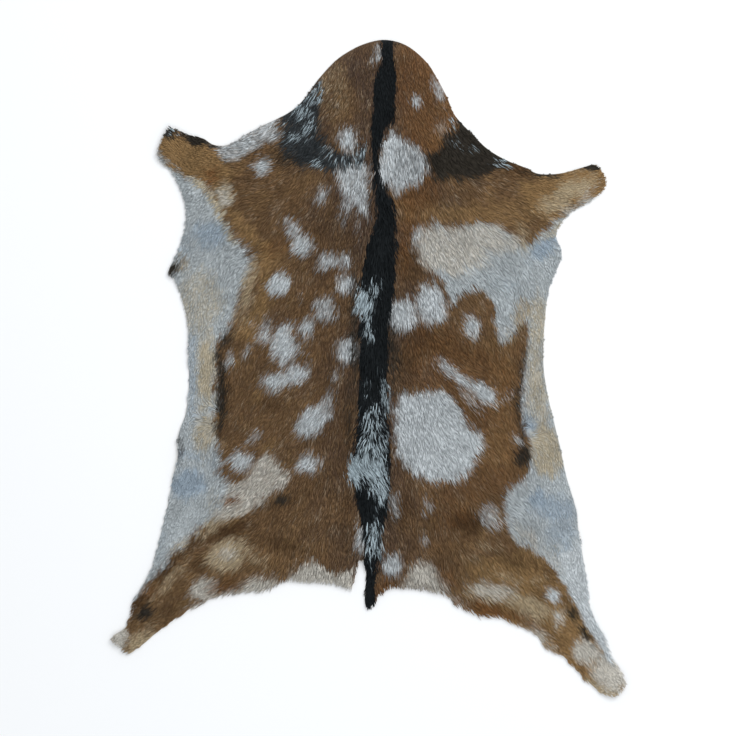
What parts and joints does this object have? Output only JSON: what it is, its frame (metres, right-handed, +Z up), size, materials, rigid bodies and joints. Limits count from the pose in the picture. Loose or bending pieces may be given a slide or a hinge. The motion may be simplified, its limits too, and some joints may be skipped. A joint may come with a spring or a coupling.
{
  "type": "goatskin rug",
  "caption": "Flat tanned goat hide rug, hair side up, with neck, legs and tail, brown with a black stripe down the back, white patches and pale flanks.",
  "frame": {"origin": "on the floor, under the middle of the hide's bounding box", "axes": "+Z up out of the hair side, +Y towards the neck, +X to the right seen from above"},
  "size_m": [0.7423, 0.9509, 0.0124],
  "materials": {
    "hair_coat": "short straight goat hair lying towards the tail, warm brown with black, white and cream patches, soft sheen",
    "tanned_skin": "napped undyed skin side, pale buff, matt"
  },
  "bodies": {
    "root": {"goatskin": "hair_coat"}
  },
  "joints": []
}
